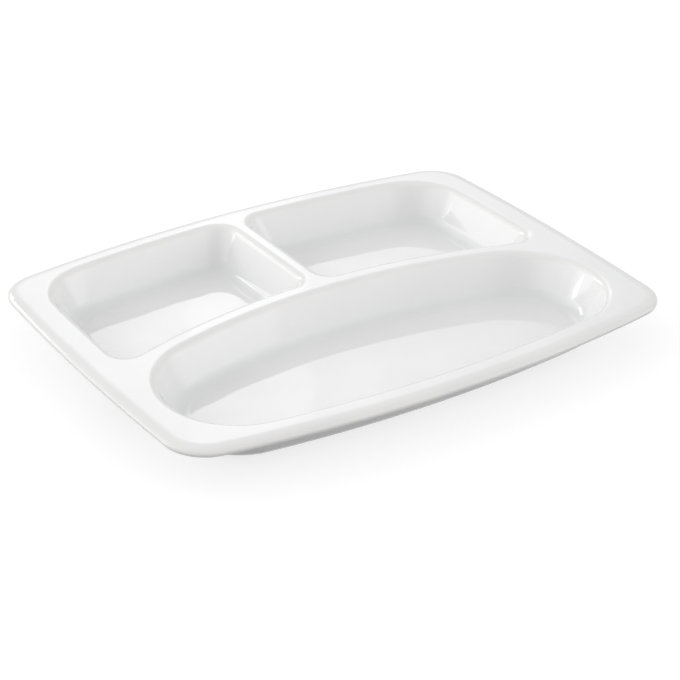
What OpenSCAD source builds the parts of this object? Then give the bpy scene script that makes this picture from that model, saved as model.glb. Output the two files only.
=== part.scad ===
// Divided plate of glazed porcelain: a bowed rectangle with a flat flange, two small bowls behind
// and one long rounded bowl in front. It stands on three bare foot rings, one under each bowl.
// The origin is on the table, under the middle of the plate. X runs along the plate, Y to its back.

/* [Plate outline] */
// Length of the plate, over the middles of its short sides
plate_l = 300; // [270:1:360]
// Width of the plate, over the middles of its long sides
plate_w = 235.7; // [212:0.1:270]
// Radius that the long sides are bowed to
long_side_r = 730; // [550:1:1500]
// Radius that the short sides are bowed to
short_side_r = 1670; // [900:10:4000]
// Radius of the plate's four corners
corner_r = 24; // [18:0.5:34]
// Thickness of the flange
rim_t = 4.8; // [4:0.1:6]
// Run of the long curve in which the top of the flange falls away to its edge
edge_run = 7; // [4:0.1:9]
// Round edge at the underside of the flange
edge_under_r = 2; // [1.5:0.1:2.4]

/* [Flange and dividers] */
// Width of the flange at the back, from the edge to the bowls
back_flange = 10.1; // [8.4:0.1:16]
// Width of the flange at the short sides
side_flange = 15.6; // [11:0.2:24]
// Width of the flange at the front
front_flange = 11.9; // [9:0.1:20]
// Flat top of the divider between the two rear bowls
mid_divider = 3.1; // [2.6:0.1:10]
// Flat top of the divider between the front bowl and the rear ones
cross_divider = 4.5; // [3.6:0.1:12]
// Radius of the arc that the front bowl's rear side follows
arc_r = 340; // [270:1:500]
// How far that arc reaches behind the middle of the plate
arc_apex = 8; // [2:0.2:14]

/* [Corners of the bowls] */
// Front bowl, corners at the front of the plate
front_bowl_front_r = 44; // [34:0.5:46]
// Front bowl, corners at the cross divider
front_bowl_rear_r = 50; // [38:0.5:52]
// Front bowl, least run of its short sides that these corners leave between them
end_run = 1; // [0.5:0.1:3]
// Rear bowls, corners at the back of the plate
rear_bowl_back_r = 36.6; // [26:0.2:42]
// Rear bowls, corners between the short side and the cross divider
rear_bowl_side_r = 12; // [9:0.5:16]
// Rear bowls, corners between the middle divider and the back of the plate
rear_bowl_inner_r = 14.7; // [11:0.1:20]
// Rear bowls, corners where the two dividers meet
rear_bowl_point_r = 12.4; // [10:0.1:18]
// Radius that the small corners shrink to at the foot
foot_corner_r = 3; // [2:0.5:5]

/* [Bowls] */
// Depth of the bowls below the flange
bowl_depth = 21.8; // [18:0.1:27]
// Slope of the walls, in degrees from upright
wall_draft = 26; // [20:1:31]
// Round edge at the mouth of a bowl
mouth_r = 5; // [4:0.1:6]
// Fillet between a wall and the floor
floor_r = 10; // [8:0.5:12]
// Thickness of the walls
wall_t = 4.4; // [3.6:0.1:5.2]
// Thickness of the floors
base_t = 4; // [3.4:0.1:5.5]
// Fillet where the outside of a bowl meets the flange
under_r = 2; // [1:0.1:3]

/* [Feet] */
// Height of the foot rings
foot_h = 1; // [0.8:0.1:2]
// Width of the face that a foot ring stands on
foot_w = 2.6; // [1.6:0.1:5]
// Run of a foot ring's sloping sides
foot_slope = 0.6; // [0.2:0.1:1.2]
// What is ground off the feet, so that they stand in one plane
foot_grind = 0.3; // [0.2:0.1:0.6]

/* [Glaze] */
// Thickness of the glaze
glaze_t = 0.4; // [0.2:0.05:0.6]

/* [Hidden] */

glaze_white = [0.95, 0.95, 0.95];
body_white = [0.89, 0.875, 0.85];

floor_z = foot_h + base_t;
plate_h = floor_z + bowl_depth;
edge_drop = rim_t - edge_under_r;
edge_roll = min(edge_run, min(back_flange, side_flange, front_flange) - 1);

// A straight side is an arc of this radius
straight_r = 20000;

// Steps around the mouth, the floor fillet, the fillet under the flange, and the edge's top and underside
mouth_steps = 3;
floor_steps = 4;
under_steps = 2;
edge_steps = 5;
edge_under_steps = 2;

// PROFILES
// A profile is a list of [inset, height], from the flange down to the middle of a bowl.

// A wall from one level to a lower one: a round edge, the slope and a fillet
function wall_profile(start, z_top, z_low, r_top, r_low, n_top, n_low) =
    let (
        slope = (z_top - z_low - (r_top + r_low) * (1 - sin(wall_draft))) / cos(wall_draft),
        finish = start + (r_top + r_low) * cos(wall_draft) + slope * sin(wall_draft)
    )
    concat(
        [for (i = [0 : n_top])
            let (a = 90 + (wall_draft - 90) * i / n_top)
            [start + r_top * cos(a), z_top - r_top + r_top * sin(a)]],
        [for (i = [0 : n_low])
            let (a = 180 + wall_draft + (90 - wall_draft) * i / n_low)
            [finish + r_low * cos(a), z_low + r_low + r_low * sin(a)]]
    );

// The food side of a bowl, at a depth below the finished surface
function inner_profile(depth) =
    wall_profile(
        0,
        plate_h - depth,
        floor_z - depth,
        mouth_r - depth,
        floor_r + depth,
        mouth_steps,
        floor_steps
    );

// The edge of the flange, from the flat of its top to the flat of its underside
function edge_profile(depth) =
    concat(
        [for (i = [0 : edge_steps])
            let (a = 90 * i / edge_steps)
            [
                edge_roll - (edge_roll - depth) * sin(a),
                plate_h - edge_drop + (edge_drop - depth) * cos(a)
            ]],
        [for (i = [1 : edge_under_steps])
            let (
                a = 90 * i / edge_under_steps,
                r = edge_under_r - depth
            )
            [edge_under_r - r * cos(a), plate_h - edge_drop - r * sin(a)]]
    );

// The fillet under the flange has the room that the narrower divider leaves
rise = 1 - sin(wall_draft);
under_room = min(mid_divider, cross_divider) / 2 - glaze_t / 2;
under_limit = mouth_r + (rim_t * sin(wall_draft) + under_room * cos(wall_draft) - wall_t) / rise;
under_fillet = min(under_r, under_limit);
under_start = (rim_t * sin(wall_draft) - wall_t - (under_fillet - mouth_r) * rise) / cos(wall_draft);

// The outside of a bowl, at a depth below the finished surface
function outer_profile(depth) =
    wall_profile(
        under_start,
        plate_h - rim_t + depth,
        foot_h + depth,
        under_fillet + depth,
        floor_r + wall_t - depth,
        under_steps,
        floor_steps
    );

function last(list) = list[len(list) - 1];

// A foot ring starts where the outside of its bowl ends. It is pressed too tall, and then ground.
foot_start = last(outer_profile(glaze_t));
foot_outer = foot_start.x + foot_slope;
foot_inner = foot_outer + foot_w;
base_edge = foot_inner + foot_slope;
ground_run = foot_slope * foot_grind / foot_start.y;
foot_profile = [
    [foot_outer + ground_run, -foot_grind],
    [foot_inner - ground_run, -foot_grind],
    [base_edge, foot_start.y]
];

// OUTLINES
// A side is [centre x, centre y, radius]. A side that bends into its bowl has a negative radius.

front_side = [0, long_side_r - plate_w / 2, long_side_r];
right_side = [plate_l / 2 - short_side_r, 0, short_side_r];
back_side = [0, plate_w / 2 - long_side_r, long_side_r];
left_side = [short_side_r - plate_l / 2, 0, short_side_r];
arc_side = [0, arc_apex - arc_r, arc_r];
divider_side = [0, arc_apex - arc_r, -(arc_r + cross_divider)];
middle_side = [mid_divider / 2 + straight_r, 0, straight_r];

function moved_in(side, inset) = [side.x, side.y, side.z - inset];

// What an outline holds: its sides, anticlockwise, and for the corner after each side its radius, how fast
// it shrinks as the outline moves in, and a point on its outer side. Then the steps of sides and corners.
SIDES = 0;
RADII = 1;
TAPERS = 2;
BEYOND = 3;
SIDE_STEPS = 4;
CORNER_STEPS = 5;

// A large corner stays parallel, and a small one ends at the foot's corner radius
function taper(r) = min(1, (r - foot_corner_r) / base_edge);
function tapers(radii) = [for (r = radii) taper(r)];

// The two corners at an end of the front bowl share the room that its short side has
front_wall = moved_in(front_side, front_flange);
right_wall = moved_in(right_side, side_flange);
left_wall = moved_in(left_side, side_flange);
front_beyond = [[plate_l, -plate_w], [plate_l, 0], [-plate_l, 0], [-plate_l, -plate_w]];

function run_left(share) =
    let (
        front = corner_centre(front_wall, right_wall, share * front_bowl_front_r, front_beyond[0]),
        rear = corner_centre(right_wall, arc_side, share * front_bowl_rear_r, front_beyond[1])
    )
    rear.y - front.y;

function largest_share(low, high, tries) =
    let (share = (low + high) / 2)
    tries == 0 ? low
    : run_left(share) > end_run ? largest_share(share, high, tries - 1)
    : largest_share(low, share, tries - 1);

share_tries = 20;
end_share = run_left(1) > end_run ? 1 : largest_share(0, 1, share_tries);
end_front_r = end_share * front_bowl_front_r;
end_rear_r = end_share * front_bowl_rear_r;

front_radii = [end_front_r, end_rear_r, end_rear_r, end_front_r];
rear_radii = [rear_bowl_side_r, rear_bowl_back_r, rear_bowl_inner_r, rear_bowl_point_r];

rim_outline = [
    [front_side, right_side, back_side, left_side],
    [corner_r, corner_r, corner_r, corner_r],
    [1, 1, 1, 1],
    [[plate_l, -plate_w], [plate_l, plate_w], [-plate_l, plate_w], [-plate_l, -plate_w]],
    [12, 8, 12, 8],
    [6, 6, 6, 6]
];
front_outline = [
    [front_wall, right_wall, arc_side, left_wall],
    front_radii,
    tapers(front_radii),
    front_beyond,
    [8, 2, 8, 2],
    [8, 8, 8, 8]
];
rear_outline = [
    [divider_side, right_wall, moved_in(back_side, back_flange), middle_side],
    rear_radii,
    tapers(rear_radii),
    [[plate_l, 0], [plate_l, plate_w], [0, plate_w], [0, arc_apex]],
    [6, 3, 5, 3],
    [6, 6, 6, 6]
];

// The crossing of two circles that lies nearer to a point
function crossing(a, ra, b, rb, near) =
    let (
        d = norm(b - a),
        along = (d * d + ra * ra - rb * rb) / (2 * d),
        off = sqrt(max(ra * ra - along * along, 0)),
        u = (b - a) / d,
        p = a + u * along + off * [-u.y, u.x],
        q = a + u * along - off * [-u.y, u.x]
    )
    norm(p - near) < norm(q - near) ? p : q;

function middle(side) = [side.x, side.y];
function angle_of(v) = atan2(v.y, v.x);
function short_turn(from, to) =
    let (turn = to - from)
    turn > 180 ? turn - 360
    : turn < -180 ? turn + 360
    : turn;

function corner_centre(a, b, r, beyond) =
    crossing(middle(a), abs(a.z - r), middle(b), abs(b.z - r), beyond);

// Points on an arc, without the last one, which starts the next arc
function arc_points(centre, r, from, to, steps) =
    let (turn = short_turn(from, to))
    [for (i = [0 : steps - 1])
        let (a = from + turn * i / steps)
        centre + r * [cos(a), sin(a)]];

function outline_points(outline, inset) =
    let (
        n = len(outline[SIDES]),
        sides = [for (s = outline[SIDES]) moved_in(s, inset)],
        radii = outline[RADII] - inset * outline[TAPERS],
        centres = [for (i = [0 : n - 1])
            corner_centre(sides[i], sides[(i + 1) % n], radii[i], outline[BEYOND][i])]
    )
    [for (i = [0 : n - 1])
        let (
            side = sides[i],
            next = sides[(i + 1) % n],
            c = middle(side),
            before = angle_of(centres[(i + n - 1) % n] - c),
            after = angle_of(centres[i] - c),
            leave = angle_of(sign(side.z) * (centres[i] - c)),
            arrive = angle_of(sign(next.z) * (centres[i] - middle(next)))
        )
        each concat(
            arc_points(c, abs(side.z), before, after, outline[SIDE_STEPS][i]),
            arc_points(centres[i], radii[i], leave, arrive, outline[CORNER_STEPS][i])
        )];

function mirrored(points) = [for (i = [len(points) - 1 : -1 : 0]) [-points[i].x, points[i].y]];

// The three bowls, in the order in which their points are listed
bowls = ["front", "right", "left"];
last_bowl = len(bowls) - 1;

function bowl_points(bowl, inset) =
    bowl == "front" ? outline_points(front_outline, inset)
    : bowl == "right" ? outline_points(rear_outline, inset)
    : mirrored(outline_points(rear_outline, inset));

// PLACES ON AN OUTLINE
// The number of a point, counted anticlockwise from where the first side starts

function total(list, upto) = upto == 0 ? 0 : list[upto - 1] + total(list, upto - 1);
function side_start(outline, i) = total(outline[SIDE_STEPS], i) + total(outline[CORNER_STEPS], i);
function size_of(outline) = side_start(outline, len(outline[SIDES]));
function side_middle(outline, i) = side_start(outline, i) + outline[SIDE_STEPS][i] / 2;
function corner_middle(outline, i) = side_start(outline, i + 1) - outline[CORNER_STEPS][i] / 2;
function run_of(from, to, n) = [for (k = [0 : (to - from + n) % n]) (from + k) % n];
function backwards(list) = [for (i = [len(list) - 1 : -1 : 0]) list[i]];
function plus(list, by) = [for (x = list) x + by];

rim_n = size_of(rim_outline);
front_n = size_of(front_outline);
rear_n = size_of(rear_outline);
bowl_sizes = [for (b = bowls) len(bowl_points(b, 0))];

// FACES
// All are anticlockwise as seen from above, and flipped where the surface looks up.

function flipped(faces) = [for (f = faces) [f[2], f[1], f[0]]];
function shifted(faces, by) = [for (f = faces) plus(f, by)];

// Two triangles for each step between two rings of n points, the second inside the first
function band(a, b, n) =
    [for (i = [0 : n - 1])
        let (j = (i + 1) % n)
        each [[a + i, a + j, b + j], [a + i, b + j, b + i]]];

function bands(first, rings, n) =
    [for (k = [0 : rings - 2]) each band(first + k * n, first + (k + 1) * n, n)];

function fan(first, n, tip) = [for (i = [0 : n - 1]) [first + i, first + (i + 1) % n, tip]];

// A strip of triangles between two rows of points that run the same way, the second on the left
function strip(a, b) =
    let (
        n = len(a) - 1,
        m = len(b) - 1,
        met = [for (i = [0 : n - 1]) round((i + 0.5) * m / n)]
    )
    concat(
        [for (i = [0 : n - 1]) [a[i], a[i + 1], b[met[i]]]],
        [for (j = [0 : m - 1])
            let (i = len([for (k = met) if (k <= j) k]))
            [a[i], b[j + 1], b[j]]]
    );

// The flat of the flange and the dividers, between the rim's ring and a ring around each bowl
function flange_faces(rim, bowl_rings) =
    let (
        front = bowl_rings[0],
        right = bowl_rings[1],
        left = bowl_rings[2],
        rim_right = side_middle(rim_outline, 1),
        rim_back = side_middle(rim_outline, 2),
        rim_left = side_middle(rim_outline, 3),
        front_right = corner_middle(front_outline, 1),
        front_apex = side_middle(front_outline, 2),
        front_left = corner_middle(front_outline, 2),
        side_corner = corner_middle(rear_outline, 0),
        inner_corner = corner_middle(rear_outline, 2),
        point_corner = corner_middle(rear_outline, 3),
        outside = run_of(side_corner, inner_corner, rear_n),
        divider = run_of(point_corner, side_corner, rear_n),
        inside = backwards(run_of(inner_corner, point_corner, rear_n)),
        on_left = [for (i = [0 : rear_n - 1]) left + rear_n - 1 - i]
    )
    concat(
        strip(
            plus(run_of(rim_left, rim_right, rim_n), rim),
            plus(run_of(front_left, front_right, front_n), front)
        ),
        strip(plus(run_of(rim_right, rim_back, rim_n), rim), plus(outside, right)),
        strip(plus(run_of(rim_back, rim_left, rim_n), rim), [for (i = backwards(outside)) on_left[i]]),
        strip(plus(backwards(run_of(front_right, front_apex, front_n)), front), plus(divider, right)),
        strip(
            plus(backwards(run_of(front_apex, front_left, front_n)), front),
            [for (i = backwards(divider)) on_left[i]]
        ),
        strip(plus(inside, right), [for (i = inside) on_left[i]]),
        [
            [front + front_apex, right + point_corner, on_left[point_corner]],
            [rim + rim_back, on_left[inner_corner], right + inner_corner],
            [rim + rim_right, right + side_corner, front + front_right],
            [rim + rim_left, front + front_left, on_left[side_corner]]
        ]
    );

// THE SKIN
// Everything from the three floors, over the flange and around the edge, down to the given profile's end

edge_rings = len(edge_profile(0));
inner_rings = len(inner_profile(0));
outer_rings = len(outer_profile(0));
floors_at = rim_n * edge_rings;
inner_at = floors_at + len(bowls);

// Where the rings of the bowl at a place in the list start
outer_at = inner_at + total(bowl_sizes, len(bowls)) * inner_rings;
function inner_start(i) = inner_at + total(bowl_sizes, i) * inner_rings;
function outer_start(i, rings) = outer_at + total(bowl_sizes, i) * rings;

function at_height(points, z) = [for (p = points) [p.x, p.y, z]];
function mean(points) = [for (p = points) 1] * points / len(points);
function floor_centre(bowl, z) = let (c = mean(bowl_points(bowl, base_edge))) [c.x, c.y, z];

function profile_points(bowl, profile) =
    [for (p = profile) each at_height(bowl_points(bowl, p.x), p.y)];

function edge_points(depth) =
    [for (p = edge_profile(depth)) each at_height(outline_points(rim_outline, p.x), p.y)];

function skin_points(depth, outer) =
    concat(
        edge_points(depth),
        [for (b = bowls) floor_centre(b, floor_z - depth)],
        [for (b = bowls) each profile_points(b, inner_profile(depth))],
        [for (b = bowls) each profile_points(b, outer)]
    );

function skin_faces(rings) =
    concat(
        bands(0, edge_rings, rim_n),
        flipped(concat(
            flange_faces(0, [for (i = [0 : last_bowl]) inner_start(i)]),
            [for (i = [0 : last_bowl]) each bands(inner_start(i), inner_rings, bowl_sizes[i])],
            [for (i = [0 : last_bowl])
                each fan(inner_start(i + 1) - bowl_sizes[i], bowl_sizes[i], floors_at + i)]
        )),
        flange_faces((edge_rings - 1) * rim_n, [for (i = [0 : last_bowl]) outer_start(i, rings)]),
        [for (i = [0 : last_bowl]) each bands(outer_start(i, rings), rings, bowl_sizes[i])]
    );

function skin_size(rings) = outer_start(len(bowls), rings);
function last_ring(i, rings) = outer_start(i + 1, rings) - bowl_sizes[i];

// PIECES

// The pressed and fired body, with its foot rings ground flat
module porcelain_body() {
    outer = concat(outer_profile(glaze_t), foot_profile);
    rings = len(outer);
    points = concat(skin_points(glaze_t, outer), [for (b = bowls) floor_centre(b, foot_start.y)]);
    faces = concat(
        skin_faces(rings),
        [for (i = [0 : last_bowl]) each fan(last_ring(i, rings), bowl_sizes[i], skin_size(rings) + i)]
    );
    ground = 2 * foot_grind;
    color(body_white)
        difference() {
            polyhedron(points, faces);
            translate([-plate_l / 2, -plate_w / 2, -ground])
                cube([plate_l, plate_w, ground]);
        }
}

// The glaze over the food side, the edge and the outside, down to the foot rings
module glaze_coat() {
    size = skin_size(outer_rings);
    faces = skin_faces(outer_rings);
    ends = [for (i = [0 : last_bowl])
        each band(last_ring(i, outer_rings), size + last_ring(i, outer_rings), bowl_sizes[i])];
    color(glaze_white)
        polyhedron(
            concat(skin_points(0, outer_profile(0)), skin_points(glaze_t, outer_profile(glaze_t))),
            concat(faces, flipped(shifted(faces, size)), ends)
        );
}

// The glaze panel inside one foot ring
module base_glaze(bowl) {
    color(glaze_white)
        translate([0, 0, foot_h])
            linear_extrude(glaze_t)
                polygon(bowl_points(bowl, base_edge));
}

module main_base_glaze() {
    base_glaze("front");
}

module left_base_glaze() {
    base_glaze("left");
}

module right_base_glaze() {
    base_glaze("right");
}

porcelain_body();
glaze_coat();
main_base_glaze();
left_base_glaze();
right_base_glaze();
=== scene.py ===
from math import atan2, cos, pi, radians, sin, sqrt

import bmesh
import bpy
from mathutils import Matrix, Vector


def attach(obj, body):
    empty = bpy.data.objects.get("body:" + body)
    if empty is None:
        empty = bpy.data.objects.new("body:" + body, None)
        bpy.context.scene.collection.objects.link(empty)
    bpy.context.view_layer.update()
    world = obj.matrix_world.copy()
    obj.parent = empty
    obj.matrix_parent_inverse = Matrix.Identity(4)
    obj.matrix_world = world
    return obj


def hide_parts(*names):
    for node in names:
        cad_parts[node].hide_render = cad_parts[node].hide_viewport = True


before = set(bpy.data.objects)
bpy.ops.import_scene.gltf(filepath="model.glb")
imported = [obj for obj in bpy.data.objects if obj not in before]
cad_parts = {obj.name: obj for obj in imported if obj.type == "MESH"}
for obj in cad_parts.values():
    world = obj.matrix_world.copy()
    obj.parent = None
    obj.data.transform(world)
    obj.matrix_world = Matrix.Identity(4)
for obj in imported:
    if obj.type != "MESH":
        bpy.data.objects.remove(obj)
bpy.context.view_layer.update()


# PORCELAIN BODY
# The core of the plate: pressed porcelain, fired hard and white, with three bowls that hang from one flat
# flange. Glaze covers it, except on the foot rings, which are wiped before firing and ground flat after it.

# The outline of the plate, and the widths of its flange and dividers
plate_l, plate_w, plate_h = 0.300, 0.2357, 0.0268
long_side_r, short_side_r, corner_r = 0.730, 1.670, 0.0240
back_flange, side_flange, front_flange = 0.0101, 0.0156, 0.0119
mid_divider, cross_divider = 0.0031, 0.0045
arc_r, arc_apex = 0.340, 0.0080
front_bowl_front_r, front_bowl_rear_r = 0.0440, 0.0500
rear_bowl_side_r, rear_bowl_back_r, rear_bowl_inner_r, rear_bowl_point_r = 0.0120, 0.0366, 0.0147, 0.0124

# A straight side is the arc of a circle so large that its bow doesn't show
straight_r = 20.0

# The section through the edge: its top falls away over a long curve, and its underside is a small round
rim_t, edge_run, edge_under_r = 0.0048, 0.0070, 0.0020
edge_drop = rim_t - edge_under_r

# The section through a bowl, from its mouth down to the foot
bowl_depth = 0.0218
floor_z = plate_h - bowl_depth
wall_draft = radians(26)
mouth_r, floor_r, under_r = 0.0050, 0.0100, 0.0020
wall_t, glaze_t = 0.0044, 0.0004
foot_h, foot_w, foot_slope, foot_corner_r = 0.0010, 0.0026, 0.0006, 0.0030

# Steps along the edge's top and underside, then down a bowl: mouth, wall, floor's fillet, fillet under rim
edge_steps, edge_under_steps = 14, 8
mouth_steps, wall_steps, floor_steps, under_steps = 10, 4, 16, 5


def wall_profile(start, z_top, z_low, r_top, r_low, top_steps):
    """Insets and heights down a wall: a round edge, the slope and a fillet."""
    slope = (z_top - z_low - (r_top + r_low) * (1 - sin(wall_draft))) / cos(wall_draft)
    finish = start + (r_top + r_low) * cos(wall_draft) + slope * sin(wall_draft)
    rounded, filleted = [], []
    for i in range(top_steps + 1):
        a = pi / 2 + (wall_draft - pi / 2) * i / top_steps
        rounded.append((start + r_top * cos(a), z_top - r_top + r_top * sin(a)))
    for i in range(floor_steps + 1):
        a = pi + wall_draft + (pi / 2 - wall_draft) * i / floor_steps
        filleted.append((finish + r_low * cos(a), z_low + r_low + r_low * sin(a)))
    (x0, z0), (x1, z1) = rounded[-1], filleted[0]
    shares = [i / wall_steps for i in range(1, wall_steps)]
    between = [(x0 + (x1 - x0) * share, z0 + (z1 - z0) * share) for share in shares]
    return rounded + between + filleted


def inner_profile(depth):
    """The food side of a bowl, at a depth below the finished surface."""
    return wall_profile(0, plate_h - depth, floor_z - depth, mouth_r - depth, floor_r + depth, mouth_steps)


# Where the outside leaves the flange's underside, so that the wall is wall_t thick along its slope
round_gap = (under_r - mouth_r) * (1 - sin(wall_draft))
under_start = (rim_t * sin(wall_draft) - wall_t - round_gap) / cos(wall_draft)


def outer_profile(depth):
    """The outside of a bowl, at a depth below the finished surface."""
    top, low = plate_h - rim_t + depth, foot_h + depth
    return wall_profile(under_start, top, low, under_r + depth, floor_r + wall_t - depth, under_steps)


foot_top_inset, foot_top_z = outer_profile(glaze_t)[-1]
foot_outer = foot_top_inset + foot_slope
foot_inner = foot_outer + foot_w
base_edge = foot_inner + foot_slope
foot_round = 0.00025
foot_ease = foot_round * 0.4
foot_profile = [
    (foot_outer - foot_ease, foot_round),
    (foot_outer + foot_ease, 0),
    (foot_inner - foot_ease, 0),
    (foot_inner + foot_ease, foot_round),
    (base_edge, foot_top_z),
]

# A side is the arc of a circle: its middle and radius, which is negative where the side bends inwards.
# Each outline has four of them, anticlockwise, with a corner after each.
front_side = (0, long_side_r - plate_w / 2, long_side_r)
right_side = (plate_l / 2 - short_side_r, 0, short_side_r)
back_side = (0, plate_w / 2 - long_side_r, long_side_r)
left_side = (short_side_r - plate_l / 2, 0, short_side_r)
arc_side = (0, arc_apex - arc_r, arc_r)
divider_side = (0, arc_apex - arc_r, -arc_r - cross_divider)
middle_side = (mid_divider / 2 + straight_r, 0, straight_r)


def moved_in(side, inset):
    """A side moved towards the inside of its outline."""
    x, y, r = side
    return x, y, r - inset


rim_outline = {
    "sides": [front_side, right_side, back_side, left_side],
    "corners": [corner_r] * 4,
    "beyond": [(plate_l, -plate_w), (plate_l, plate_w), (-plate_l, plate_w), (-plate_l, -plate_w)],
    "side_steps": [44, 26, 44, 26],
    "corner_steps": [18] * 4,
    "shrink": False,
}
front_outline = {
    "sides": [
        moved_in(front_side, front_flange),
        moved_in(right_side, side_flange),
        arc_side,
        moved_in(left_side, side_flange),
    ],
    "corners": [front_bowl_front_r, front_bowl_rear_r, front_bowl_rear_r, front_bowl_front_r],
    "beyond": [(plate_l, -plate_w), (plate_l, 0), (-plate_l, 0), (-plate_l, -plate_w)],
    "side_steps": [44, 4, 44, 4],
    "corner_steps": [28] * 4,
    "shrink": True,
}
rear_outline = {
    "sides": [divider_side, moved_in(right_side, side_flange), moved_in(back_side, back_flange), middle_side],
    "corners": [rear_bowl_side_r, rear_bowl_back_r, rear_bowl_inner_r, rear_bowl_point_r],
    "beyond": [(plate_l, 0), (plate_l, plate_w), (0, plate_w), (0, arc_apex)],
    "side_steps": [28, 16, 24, 20],
    "corner_steps": [16, 26, 16, 16],
    "shrink": True,
}


def corner_middle(a, b, r, beyond):
    """The middle of the corner that rounds off two sides: where circles parallel to them cross."""
    first, second, beyond = Vector(a[:2]), Vector(b[:2]), Vector(beyond)
    ra, rb = abs(a[2] - r), abs(b[2] - r)
    gap = (second - first).length
    along = (gap * gap + ra * ra - rb * rb) / (2 * gap)
    across = sqrt(max(ra * ra - along * along, 0))
    way = (second - first) / gap
    foot = first + way * along
    aside = Vector((-way.y, way.x)) * across
    return min(foot + aside, foot - aside, key=lambda p: (p - beyond).length)


def arc_points(middle, r, start, end, steps):
    """Points on the shorter way round a circle, without the last one, which starts the next arc."""
    turn = (end - start + pi) % (2 * pi) - pi
    angles = [start + turn * i / steps for i in range(steps)]
    return [(middle.x + r * cos(a), middle.y + r * sin(a)) for a in angles]


def outline(shape, inset):
    """The points of an outline, moved in. Small corners shrink more slowly, to the corner of the foot."""
    sides = [moved_in(side, inset) for side in shape["sides"]]
    radii = []
    for r in shape["corners"]:
        rate = min(1, (r - foot_corner_r) / base_edge) if shape["shrink"] else 1
        radii.append(r - inset * rate)
    after = [1, 2, 3, 0]
    corners = [corner_middle(sides[i], sides[after[i]], radii[i], shape["beyond"][i]) for i in range(4)]
    points = []
    for i, side in enumerate(sides):
        middle, r = Vector(side[:2]), side[2]
        next_middle, next_r = Vector(sides[after[i]][:2]), sides[after[i]][2]
        start, end = corners[i - 1] - middle, corners[i] - middle
        points += arc_points(middle, abs(r), atan2(*start.yx), atan2(*end.yx), shape["side_steps"][i])
        leave = end if r > 0 else -end
        arrive = corners[i] - next_middle if next_r > 0 else next_middle - corners[i]
        points += arc_points(
            corners[i], radii[i], atan2(*leave.yx), atan2(*arrive.yx), shape["corner_steps"][i]
        )
    return points


def bowl_outline(bowl, inset):
    """The outline of a bowl, moved in. The left one mirrors the right one."""
    if bowl == "front":
        return outline(front_outline, inset)
    points = outline(rear_outline, inset)
    return points if bowl == "right" else [(-x, y) for x, y in reversed(points)]


def set_ring(points, z):
    """Puts the newest ring of points where their numbers in the ring say."""
    mesh = bmesh.from_edit_mesh(bpy.context.object.data)
    number = mesh.verts.layers.int["number"]
    mesh.verts.ensure_lookup_table()
    for v in mesh.verts[-len(points):]:
        v.co = (*points[v[number]], z)
    bmesh.update_edit_mesh(bpy.context.object.data)


def draw_band(rings, closed=False):
    """A circle that is set on the first ring and extruded from ring to ring. A closed band ends in a face."""
    points, z = rings[0]
    bpy.ops.object.select_all(action="DESELECT")
    bpy.ops.mesh.primitive_circle_add(vertices=len(points), radius=plate_l / 2)
    bpy.ops.object.mode_set(mode="EDIT")
    mesh = bmesh.from_edit_mesh(bpy.context.object.data)
    number = mesh.verts.layers.int.new("number")
    for i, v in enumerate(mesh.verts):
        v[number] = i
    set_ring(points, z)
    for points, z in rings[1:]:
        bpy.ops.mesh.extrude_region_move()
        set_ring(points, z)
    if closed:
        bpy.ops.mesh.edge_face_add()
    bpy.ops.object.mode_set(mode="OBJECT")
    return bpy.context.object


def draw_edge(depth):
    """The edge of the flange, from the flat of its top to the flat of its underside."""
    profile = []
    for i in range(edge_steps + 1):
        a = pi / 2 * i / edge_steps
        inset = edge_run - (edge_run - depth) * sin(a)
        profile.append((inset, plate_h - edge_drop + (edge_drop - depth) * cos(a)))
    for i in range(1, edge_under_steps + 1):
        a = pi / 2 * i / edge_under_steps
        r = edge_under_r - depth
        profile.append((edge_under_r - r * cos(a), plate_h - edge_drop - r * sin(a)))
    return draw_band([(outline(rim_outline, inset), z) for inset, z in profile])


bowls = ["front", "right", "left"]


def draw_bowls(profile, closed):
    """One side of the three bowls, along a profile."""
    return [draw_band([(bowl_outline(bowl, inset), z) for inset, z in profile], closed) for bowl in bowls]


def join_bands(name, bands, flats):
    """Joins bands to one piece, and fills the flats of the flange and dividers at some heights."""
    bpy.ops.object.select_all(action="DESELECT")
    for band in bands:
        band.select_set(True)
    bpy.context.view_layer.objects.active = bands[0]
    bpy.ops.object.join()
    piece = bpy.context.object
    piece.name = name
    piece.data.name = name
    bpy.ops.object.mode_set(mode="EDIT")
    bpy.ops.mesh.select_mode(type="EDGE")
    for flat in flats:
        bpy.ops.mesh.select_all(action="DESELECT")
        mesh = bmesh.from_edit_mesh(piece.data)
        for edge in mesh.edges:
            if edge.is_boundary and all(abs(v.co.z - flat) < 1e-6 for v in edge.verts):
                edge.select_set(True)
        bmesh.update_edit_mesh(piece.data)
        bpy.ops.mesh.fill(use_beauty=True)
    bpy.ops.mesh.select_all(action="SELECT")
    bpy.ops.mesh.normals_make_consistent(inside=False)
    bpy.ops.object.mode_set(mode="OBJECT")
    return piece


body = join_bands(
    "porcelain",
    [draw_edge(glaze_t)]
    + draw_bowls(inner_profile(glaze_t), closed=True)
    + draw_bowls(outer_profile(glaze_t) + foot_profile, closed=True),
    flats=[plate_h - glaze_t, plate_h - rim_t + glaze_t],
)
bpy.ops.object.shade_smooth_by_angle(angle=radians(30))
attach(body, "root")
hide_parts("porcelain_body")

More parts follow.
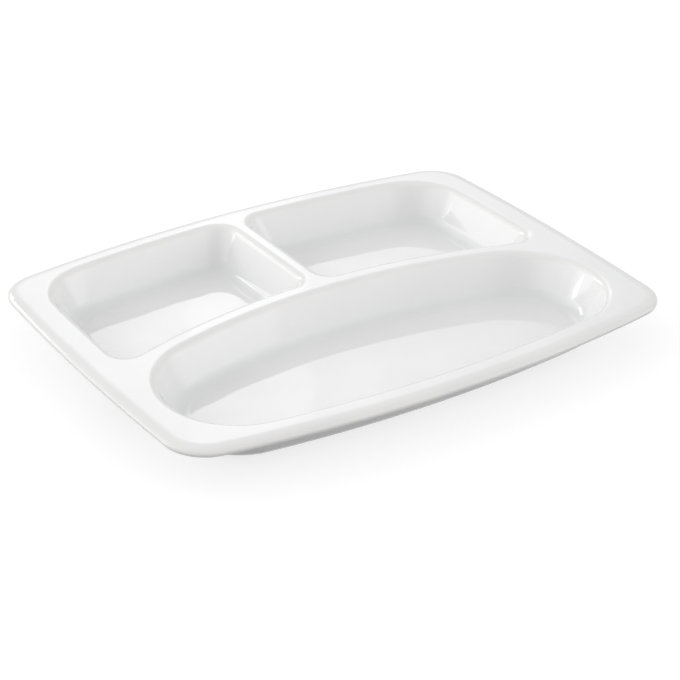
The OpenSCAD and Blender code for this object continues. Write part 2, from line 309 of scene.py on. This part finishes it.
# Bare and glazed porcelain share two things: a tone that clouds over from firing, and a low relief
clouds = bpy.data.node_groups.new("fired tone", "ShaderNodeTree")
clouds.interface.new_socket("Vector", in_out="INPUT", socket_type="NodeSocketVector")
clouds.interface.new_socket("Scale", in_out="INPUT", socket_type="NodeSocketFloat")
clouds.interface.new_socket("Pale", in_out="INPUT", socket_type="NodeSocketColor")
clouds.interface.new_socket("Deep", in_out="INPUT", socket_type="NodeSocketColor")
clouds.interface.new_socket("Tone", in_out="OUTPUT", socket_type="NodeSocketColor")
nodes, links = clouds.nodes, clouds.links
given = nodes.new("NodeGroupInput")
noise = nodes.new("ShaderNodeTexNoise")
noise.inputs["Detail"].default_value = 3
contrast = nodes.new("ShaderNodeMapRange")
contrast.inputs["From Min"].default_value = 0.35
contrast.inputs["From Max"].default_value = 0.65
blend = nodes.new("ShaderNodeMix")
blend.data_type = "RGBA"
result = nodes.new("NodeGroupOutput")
links.new(given.outputs["Vector"], noise.inputs["Vector"])
links.new(given.outputs["Scale"], noise.inputs["Scale"])
links.new(noise.outputs["Fac"], contrast.inputs["Value"])
links.new(contrast.outputs["Result"], blend.inputs[0])
links.new(given.outputs["Pale"], blend.inputs[6])
links.new(given.outputs["Deep"], blend.inputs[7])
links.new(blend.outputs[2], result.inputs["Tone"])

relief = bpy.data.node_groups.new("low relief", "ShaderNodeTree")
relief.interface.new_socket("Vector", in_out="INPUT", socket_type="NodeSocketVector")
relief.interface.new_socket("Scale", in_out="INPUT", socket_type="NodeSocketFloat")
relief.interface.new_socket("Fine Scale", in_out="INPUT", socket_type="NodeSocketFloat")
relief.interface.new_socket("Fine Share", in_out="INPUT", socket_type="NodeSocketFloat")
relief.interface.new_socket("Height", in_out="OUTPUT", socket_type="NodeSocketFloat")
nodes, links = relief.nodes, relief.links
given = nodes.new("NodeGroupInput")
broad = nodes.new("ShaderNodeTexNoise")
broad.inputs["Detail"].default_value = 0
fine = nodes.new("ShaderNodeTexNoise")
fine.inputs["Detail"].default_value = 2
share = nodes.new("ShaderNodeMath")
share.operation = "MULTIPLY_ADD"
result = nodes.new("NodeGroupOutput")
links.new(given.outputs["Vector"], broad.inputs["Vector"])
links.new(given.outputs["Scale"], broad.inputs["Scale"])
links.new(given.outputs["Vector"], fine.inputs["Vector"])
links.new(given.outputs["Fine Scale"], fine.inputs["Scale"])
links.new(fine.outputs["Fac"], share.inputs[0])
links.new(given.outputs["Fine Share"], share.inputs[1])
links.new(broad.outputs["Fac"], share.inputs[2])
links.new(share.outputs["Value"], result.inputs["Height"])

# Bare porcelain is matt, with the grain that grinding leaves
bisque = bpy.data.materials.new("bare porcelain")
bisque.use_nodes = True
nodes, links = bisque.node_tree.nodes, bisque.node_tree.links
shader = nodes["Principled BSDF"]
place = nodes.new("ShaderNodeTexCoord")
tone = nodes.new("ShaderNodeGroup")
tone.node_tree = clouds
tone.inputs["Scale"].default_value = 140
tone.inputs["Pale"].default_value = (0.82, 0.80, 0.76, 1)
tone.inputs["Deep"].default_value = (0.74, 0.71, 0.66, 1)
grain = nodes.new("ShaderNodeGroup")
grain.node_tree = relief
grain.inputs["Scale"].default_value = 900
grain.inputs["Fine Scale"].default_value = 3500
grain.inputs["Fine Share"].default_value = 0.8
bump = nodes.new("ShaderNodeBump")
bump.inputs["Strength"].default_value = 0.6
bump.inputs["Distance"].default_value = 0.00015
dry = nodes.new("ShaderNodeMapRange")
dry.inputs["From Max"].default_value = 1.8
dry.inputs["To Min"].default_value = 0.62
dry.inputs["To Max"].default_value = 0.92
links.new(place.outputs["Object"], tone.inputs["Vector"])
links.new(place.outputs["Object"], grain.inputs["Vector"])
links.new(tone.outputs["Tone"], shader.inputs["Base Color"])
links.new(grain.outputs["Height"], dry.inputs["Value"])
links.new(dry.outputs["Result"], shader.inputs["Roughness"])
links.new(grain.outputs["Height"], bump.inputs["Height"])
links.new(bump.outputs["Normal"], shader.inputs["Normal"])
body.data.materials.append(bisque)


# GLAZE COAT
# The clear glass coat that is fired over the body: it runs over the food side, round the edge and down the
# outside to the foot rings, where it ends in a rounded bead.

bead_angles = [radians(a) for a in (0, 30, 60, 90)]
bead = [(foot_top_inset - glaze_t + glaze_t * sin(a), foot_top_z - glaze_t * cos(a)) for a in bead_angles]
around_the_feet = outer_profile(0)[:-1] + bead + outer_profile(glaze_t)[-2::-1]
coat = join_bands(
    "glaze",
    [draw_edge(0), draw_edge(glaze_t)]
    + draw_bowls(inner_profile(0), closed=True)
    + draw_bowls(inner_profile(glaze_t), closed=True)
    + draw_bowls(around_the_feet, closed=False),
    flats=[plate_h, plate_h - glaze_t, plate_h - rim_t, plate_h - rim_t + glaze_t],
)
bpy.ops.object.shade_smooth_by_angle(angle=radians(60))
bpy.ops.object.modifier_add(type="WEIGHTED_NORMAL")
coat.modifiers["WeightedNormal"].weight = 90
coat.modifiers["WeightedNormal"].keep_sharp = True
bpy.ops.object.modifier_apply(modifier="WeightedNormal")
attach(coat, "root")
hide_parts("glaze_coat")

# Glaze is smooth glass, a little wavy from its melt. It is deeper in the fillets of the floors, where it ran
# together, and thinner over the edges, where the body shows through.
glaze = bpy.data.materials.new("white glaze")
glaze.use_nodes = True
nodes, links = glaze.node_tree.nodes, glaze.node_tree.links
shader = nodes["Principled BSDF"]
shader.inputs["IOR"].default_value = 1.53
place = nodes.new("ShaderNodeTexCoord")
tone = nodes.new("ShaderNodeGroup")
tone.node_tree = clouds
tone.inputs["Scale"].default_value = 28
tone.inputs["Pale"].default_value = (0.875, 0.875, 0.875, 1)
tone.inputs["Deep"].default_value = (0.855, 0.855, 0.857, 1)
level = nodes.new("ShaderNodeSeparateXYZ")
depth_ramp = nodes.new("ShaderNodeMapRange")
depth_ramp.inputs["From Max"].default_value = plate_h
coating = nodes.new("ShaderNodeValToRGB")
even, deep, thin = (1, 1, 1, 1), (0.975, 0.98, 0.985, 1), (1, 0.993, 0.98, 1)
coating.color_ramp.elements[0].position = floor_z / plate_h
coating.color_ramp.elements[0].color = even
coating.color_ramp.elements[1].position = 1
coating.color_ramp.elements[1].color = even
pool_z, pool_end_z = floor_z + 0.0011, floor_z + 0.0058
thin_start_z, thin_z = plate_h - 0.0040, plate_h - 0.0012
for z, colour in ((pool_z, deep), (pool_end_z, even), (thin_start_z, even), (thin_z, thin)):
    coating.color_ramp.elements.new(z / plate_h).color = colour
tinted = nodes.new("ShaderNodeMix")
tinted.data_type = "RGBA"
tinted.blend_type = "MULTIPLY"
tinted.inputs[0].default_value = 1
melt = nodes.new("ShaderNodeGroup")
melt.node_tree = relief
melt.inputs["Scale"].default_value = 65
melt.inputs["Fine Scale"].default_value = 420
melt.inputs["Fine Share"].default_value = 0.02
bump = nodes.new("ShaderNodeBump")
bump.inputs["Strength"].default_value = 1
bump.inputs["Distance"].default_value = 0.00008
polish = nodes.new("ShaderNodeMapRange")
polish.inputs["To Min"].default_value = 0.01
polish.inputs["To Max"].default_value = 0.03
links.new(place.outputs["Object"], tone.inputs["Vector"])
links.new(place.outputs["Object"], melt.inputs["Vector"])
links.new(place.outputs["Object"], level.inputs["Vector"])
links.new(level.outputs["Z"], depth_ramp.inputs["Value"])
links.new(depth_ramp.outputs["Result"], coating.inputs["Fac"])
links.new(tone.outputs["Tone"], tinted.inputs[6])
links.new(coating.outputs["Color"], tinted.inputs[7])
links.new(tinted.outputs[2], shader.inputs["Base Color"])
links.new(melt.outputs["Height"], polish.inputs["Value"])
links.new(polish.outputs["Result"], shader.inputs["Roughness"])
links.new(melt.outputs["Height"], bump.inputs["Height"])
links.new(bump.outputs["Normal"], shader.inputs["Normal"])
coat.data.materials.append(glaze)


# BASE GLAZES
# The three panels of glaze inside the foot rings. They are the same glass as the coat, and the bare feet,
# which are wiped before firing, part them from it.

panel_nodes = {"front": "main_base_glaze", "right": "right_base_glaze", "left": "left_base_glaze"}
for bowl in bowls:
    rim_of_panel = bowl_outline(bowl, base_edge)
    panel = draw_band([(rim_of_panel, foot_top_z), (rim_of_panel, foot_h)], closed=True)
    panel.name = bowl + "_base"
    panel.data.name = panel.name
    bpy.ops.object.mode_set(mode="EDIT")
    bpy.ops.mesh.select_all(action="DESELECT")
    bpy.ops.mesh.select_mode(type="EDGE")
    bpy.ops.mesh.select_non_manifold(
        use_wire=False, use_multi_face=False, use_non_contiguous=False, use_verts=False
    )
    bpy.ops.mesh.edge_face_add()
    bpy.ops.mesh.select_all(action="SELECT")
    bpy.ops.mesh.normals_make_consistent(inside=False)
    bpy.ops.object.mode_set(mode="OBJECT")
    bpy.ops.object.shade_smooth_by_angle(angle=radians(30))
    panel.data.materials.append(glaze)
    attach(panel, "root")
    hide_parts(panel_nodes[bowl])


# STUDIO
# A white table that runs back out of sight, soft boxes around the plate, and the camera. The table lies a
# hair under the feet, so that their ground faces don't flicker against it.

table_size, table_gap = 60, 0.0002
bpy.ops.object.select_all(action="DESELECT")
bpy.ops.mesh.primitive_plane_add(size=table_size, location=(0, 0, -table_gap))
table = bpy.context.object
table.name = "table"

# The table is white to the eye and to reflections, keeps the plate's shadow, and is clear from beneath
white = bpy.data.materials.new("white table")
white.use_nodes = True
nodes, links = white.node_tree.nodes, white.node_tree.links
nodes.clear()
top = nodes.new("ShaderNodeBsdfDiffuse")
top.inputs["Color"].default_value = (0.35, 0.35, 0.35, 1)
path = nodes.new("ShaderNodeLightPath")
seen = nodes.new("ShaderNodeMath")
seen.operation = "MAXIMUM"
lift = nodes.new("ShaderNodeMath")
lift.operation = "MULTIPLY"
lift.inputs[1].default_value = 0.74
glow = nodes.new("ShaderNodeEmission")
lit = nodes.new("ShaderNodeAddShader")
clear = nodes.new("ShaderNodeBsdfTransparent")
side = nodes.new("ShaderNodeNewGeometry")
either = nodes.new("ShaderNodeMixShader")
out = nodes.new("ShaderNodeOutputMaterial")
links.new(path.outputs["Is Camera Ray"], seen.inputs[0])
links.new(path.outputs["Is Glossy Ray"], seen.inputs[1])
links.new(seen.outputs["Value"], lift.inputs[0])
links.new(lift.outputs["Value"], glow.inputs["Strength"])
links.new(top.outputs["BSDF"], lit.inputs[0])
links.new(glow.outputs["Emission"], lit.inputs[1])
links.new(side.outputs["Backfacing"], either.inputs["Fac"])
links.new(lit.outputs["Shader"], either.inputs[1])
links.new(clear.outputs["BSDF"], either.inputs[2])
links.new(either.outputs["Shader"], out.inputs["Surface"])
table.data.materials.append(white)

scene = bpy.context.scene
scene.view_settings.view_transform = "Standard"

# The room is a soft grey light on the plate, and white to the eye
world = bpy.data.worlds.new("studio")
scene.world = world
world.use_nodes = True
nodes, links = world.node_tree.nodes, world.node_tree.links
nodes["Background"].inputs["Color"].default_value = (1, 1, 1, 1)
path = nodes.new("ShaderNodeLightPath")
seen = nodes.new("ShaderNodeMath")
seen.operation = "MAXIMUM"
strength = nodes.new("ShaderNodeMapRange")
strength.inputs["To Min"].default_value = 0.62
strength.inputs["To Max"].default_value = 1
links.new(path.outputs["Is Camera Ray"], seen.inputs[0])
links.new(path.outputs["Is Transmission Ray"], seen.inputs[1])
links.new(seen.outputs["Value"], strength.inputs["Value"])
links.new(strength.outputs["Result"], nodes["Background"].inputs["Strength"])

# Soft boxes that face the plate: direction and rise in degrees, width, height, spread in degrees and power
box_distance = 1.6
soft_boxes = {
    "key": (140, 30, 2.40, 2.40, 70, 3.26),
    "low_key": (135, 16, 0.82, 0.51, 180, 1.32),
    "spark": (141, 10.5, 0.30, 0.20, 120, 0.18),
    "low_back": (106, 23, 0.68, 0.39, 180, 2.75),
    "left": (190, 20, 1.60, 1.40, 70, 0.98),
    "strip": (61.75, 28, 0.16, 0.86, 180, 0.13),
    "backdrop": (62, 28, 1.20, 1.20, 30, 0.18),
    "fill": (312, 26, 2.40, 2.20, 80, 3.15),
    "low_front": (330, 14, 1.20, 0.80, 70, 0.45),
}
for name, (turn, rise, width, height, spread, power) in soft_boxes.items():
    turn, rise = radians(turn), radians(rise)
    towards = Vector((cos(turn) * cos(rise), sin(turn) * cos(rise), sin(rise)))
    facing = towards.to_track_quat("Z", "Y").to_euler()
    bpy.ops.object.light_add(type="AREA", location=towards * box_distance, rotation=facing)
    lamp = bpy.context.object
    lamp.name = name
    lamp.data.shape = "RECTANGLE"
    lamp.data.size, lamp.data.size_y = width, height
    lamp.data.spread = radians(spread)
    lamp.data.energy = power

# The camera looks down on the front left corner through a long lens
camera_place = (-0.52101, -0.80997, 0.52551)
camera_turn = (radians(61.2410), radians(-0.1004), radians(-32.9494))
bpy.ops.object.camera_add(location=camera_place, rotation=camera_turn)
camera = bpy.context.object
camera.data.lens = 107.798
camera.data.sensor_width = 36
scene.camera = camera
